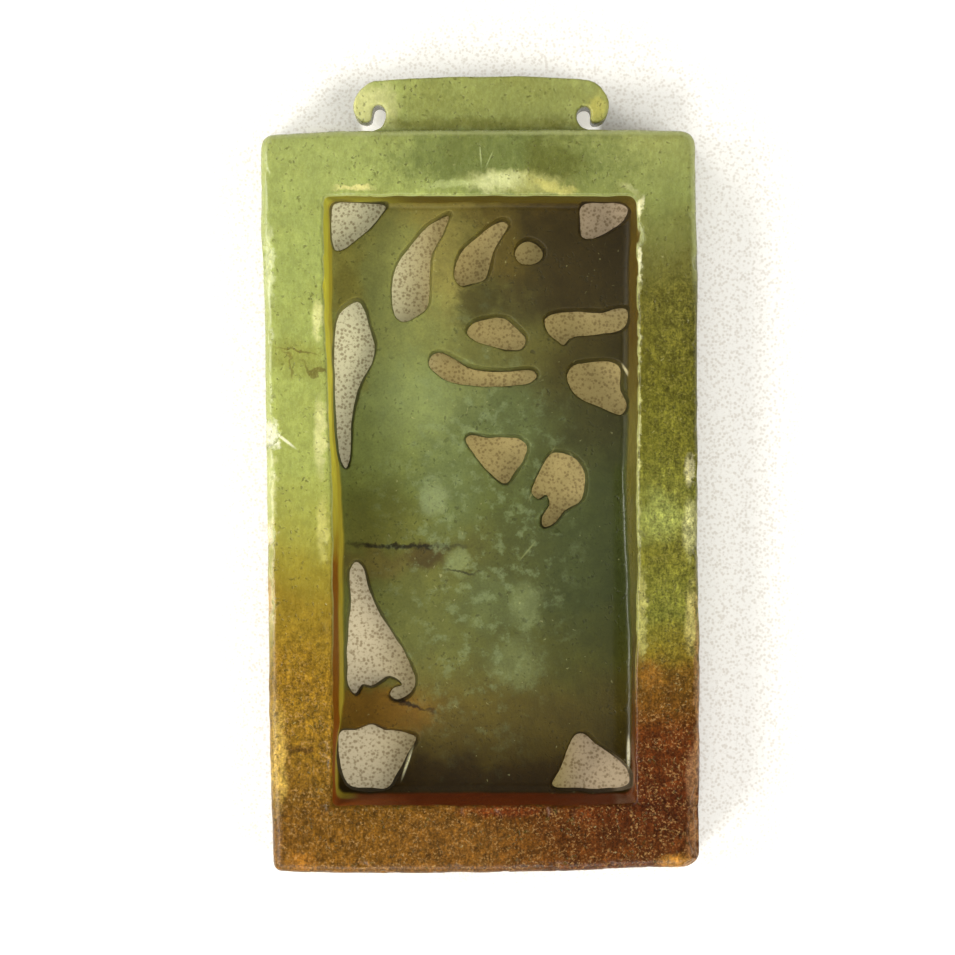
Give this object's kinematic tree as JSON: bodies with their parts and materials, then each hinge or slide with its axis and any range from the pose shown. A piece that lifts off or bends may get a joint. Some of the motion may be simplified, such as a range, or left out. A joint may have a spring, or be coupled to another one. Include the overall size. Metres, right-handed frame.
{
  "type": "jade plaque",
  "caption": "Carved nephrite plaque, one half of a scent case: a thick frame round a sunk, pierced field, with a scroll-ended tab at its head. It lies loose on its plain back.",
  "frame": {"origin": "on the flat back, under the middle of the plaque's bounding box", "axes": "+Z out of the sunk side of the lying plaque, +Y towards the scroll-ended tab, +X to the right as the sunk side is seen with the tab at the top"},
  "size_m": [0.044, 0.08, 0.009],
  "materials": {
    "jade": "waxy polish over green nephrite with russet staining at the foot"
  },
  "bodies": {
    "root": {"jade_plaque": "jade"}
  },
  "joints": []
}
